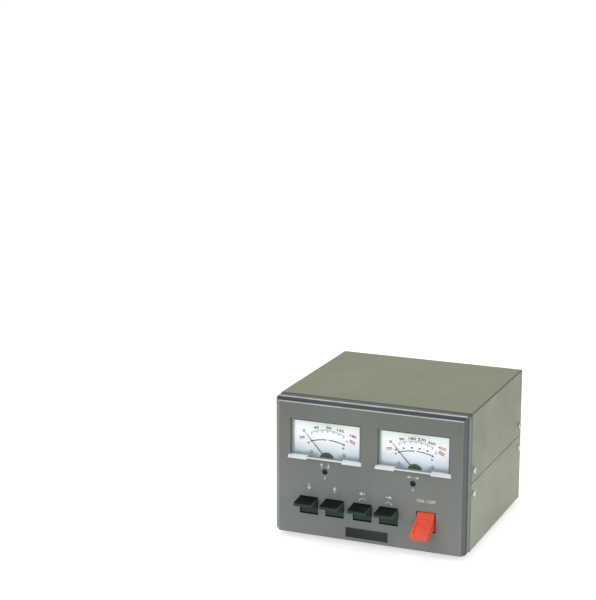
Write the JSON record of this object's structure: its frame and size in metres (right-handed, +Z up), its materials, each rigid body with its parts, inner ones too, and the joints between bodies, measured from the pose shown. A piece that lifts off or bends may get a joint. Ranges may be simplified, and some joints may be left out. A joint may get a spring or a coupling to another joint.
{
  "type": "antenna rotator controller",
  "caption": "Folded steel box with a moulded bevelled front, two moving-coil dial meters, a row of paddle keys, a power paddle and rear terminals.",
  "frame": {"origin": "centre of the bounding box in X and Y, at the level that the rubber feet stand on", "axes": "+X to the object's right seen from its front, +Y from front to back, +Z up"},
  "size_m": [0.2036, 0.2253, 0.146],
  "materials": {
    "moulded_front": "fine matt grain, grey",
    "badge": "dark satin plate, bare",
    "cover_paint": "satin olive grey paint",
    "screw_plating": "bright nickel plating",
    "plated_steel": "zinc plated sheet",
    "foot_rubber": "black rubber",
    "clear_window": "clear polished window",
    "meter_plastic": "pale grey moulded case",
    "dial_face": "white printed dial",
    "dial_screw": "dull plated screw",
    "hood": "dark grey satin",
    "iron": "dark iron",
    "brass_parts": "satin brass",
    "lamp_glass": "frosted lamp",
    "pointer": "black painted pointer",
    "coil_copper": "enamelled copper wire",
    "sill": "white translucent sill",
    "black_plastic": "black moulded plastic",
    "key_black": "black satin plastic",
    "spring_steel": "spring strip",
    "circuit_board": "phenolic board",
    "paddle_red": "red orange satin plastic",
    "trimmer_blue": "blue trimmer case",
    "shaft_white": "white plastic shaft",
    "winding_tape": "yellow tape over the winding",
    "relay_case": "clear yellowed relay case",
    "capacitor_can": "sleeved aluminium can"
  },
  "bodies": {
    "case": {"badge_plate": "badge", "bearing_bridges": "brass_parts", "bezel_screws": "screw_plating", "board_standoffs": "plated_steel", "bottom_cover": "cover_paint", "chassis_tray": "plated_steel", "cord_bush": "black_plastic", "cover_screws": "screw_plating", "dial_plate_left": "dial_face", "dial_plate_right": "dial_face", "dial_screws": "dial_screw", "filter_capacitors": "capacitor_can", "foot_screws": "screw_plating", "front_bezel": "moulded_front", "front_subpanel": "plated_steel", "fuse_holder": "black_plastic", "iron_cores": "iron", "key_frame": "black_plastic", "magnet_rings": "iron", "main_board": "circuit_board", "meter_case_left": "meter_plastic", "meter_case_right": "meter_plastic", "meter_lamps": "lamp_glass", "meter_sills": "sill", "meter_window_left": "clear_window", "meter_window_right": "clear_window", "movement_hoods": "hood", "panel_screws": "screw_plating", "power_housing": "black_plastic", "rear_panel": "plated_steel", "relays": "relay_case", "return_spring_comb": "spring_steel", "round_socket": "black_plastic", "rubber_feet": "foot_rubber", "side_rails": "plated_steel", "snap_switches": "black_plastic", "switch_board": "circuit_board", "terminal_screws": "screw_plating", "terminal_strips": "black_plastic", "top_cover": "cover_paint", "transformer_core": "iron", "transformer_strap": "plated_steel", "transformer_winding": "winding_tape", "trimmer_bodies": "trimmer_blue"},
    "down_key": {"key_down": "key_black"},
    "up_key": {"key_up": "key_black"},
    "left_key": {"key_left": "key_black"},
    "right_key": {"key_right": "key_black"},
    "power_lever": {"power_paddle": "paddle_red"},
    "left_movement": {"meter_pointer_left": "pointer", "moving_coil_left": "coil_copper"},
    "right_movement": {"meter_pointer_right": "pointer", "moving_coil_right": "coil_copper"},
    "left_adjuster": {"zero_adjuster_left": "black_plastic"},
    "right_adjuster": {"zero_adjuster_right": "black_plastic"},
    "left_trimmer": {"trimmer_shaft_left": "shaft_white"},
    "right_trimmer": {"trimmer_shaft_right": "shaft_white"},
    "cap": {"fuse_cap": "black_plastic"}
  },
  "joints": [
    {"name": "down_key_press", "type": "hinge", "parent": "case", "child": "down_key", "pos_m": [-0.063, -0.08365, 0.0366], "axis": [1, 0, 0], "range_deg": [0, 8], "stiffness_Nm_per_rad": 0.02, "springref_deg": -17.19, "deforming": ["return_spring_comb"]},
    {"name": "up_key_press", "type": "hinge", "parent": "case", "child": "up_key", "pos_m": [-0.0356, -0.08365, 0.0366], "axis": [1, 0, 0], "range_deg": [0, 8], "stiffness_Nm_per_rad": 0.02, "springref_deg": -17.19, "deforming": ["return_spring_comb"]},
    {"name": "left_key_press", "type": "hinge", "parent": "case", "child": "left_key", "pos_m": [-0.0062, -0.08365, 0.0366], "axis": [1, 0, 0], "range_deg": [0, 8], "stiffness_Nm_per_rad": 0.02, "springref_deg": -17.19, "deforming": ["return_spring_comb"]},
    {"name": "right_key_press", "type": "hinge", "parent": "case", "child": "right_key", "pos_m": [0.0212, -0.08365, 0.0366], "axis": [1, 0, 0], "range_deg": [0, 8], "stiffness_Nm_per_rad": 0.02, "springref_deg": -17.19, "deforming": ["return_spring_comb"]},
    {"name": "power_lever_tilt", "type": "hinge", "parent": "case", "child": "power_lever", "pos_m": [0.0598, -0.08525, 0.0362], "axis": [-1, 0, 0], "range_deg": [0, 28]},
    {"name": "left_pointer_swing", "type": "hinge", "parent": "case", "child": "left_movement", "pos_m": [-0.046, -0.07325, 0.084], "axis": [0, 1, 0], "range_deg": [0, 84], "stiffness_Nm_per_rad": 0.00002},
    {"name": "right_pointer_swing", "type": "hinge", "parent": "case", "child": "right_movement", "pos_m": [0.046, -0.07325, 0.084], "axis": [0, 1, 0], "range_deg": [0, 84], "stiffness_Nm_per_rad": 0.00002},
    {"name": "left_zero_turn", "type": "hinge", "parent": "case", "child": "left_adjuster", "pos_m": [-0.046, -0.08425, 0.0735], "axis": [0, 1, 0], "range_deg": [-45, 45]},
    {"name": "right_zero_turn", "type": "hinge", "parent": "case", "child": "right_adjuster", "pos_m": [0.046, -0.08425, 0.0735], "axis": [0, 1, 0], "range_deg": [-45, 45]},
    {"name": "left_trimmer_turn", "type": "hinge", "parent": "case", "child": "left_trimmer", "pos_m": [0.036, 0.09775, 0.0315], "axis": [0, 1, 0], "range_deg": [-135, 135]},
    {"name": "right_trimmer_turn", "type": "hinge", "parent": "case", "child": "right_trimmer", "pos_m": [0.058, 0.09775, 0.0315], "axis": [0, 1, 0], "range_deg": [-135, 135]},
    {"name": "fuse_cap_twist", "type": "hinge", "parent": "case", "child": "cap", "pos_m": [-0.05, 0.10375, 0.032], "axis": [0, 1, 0], "range_deg": [0, 90]}
  ]
}
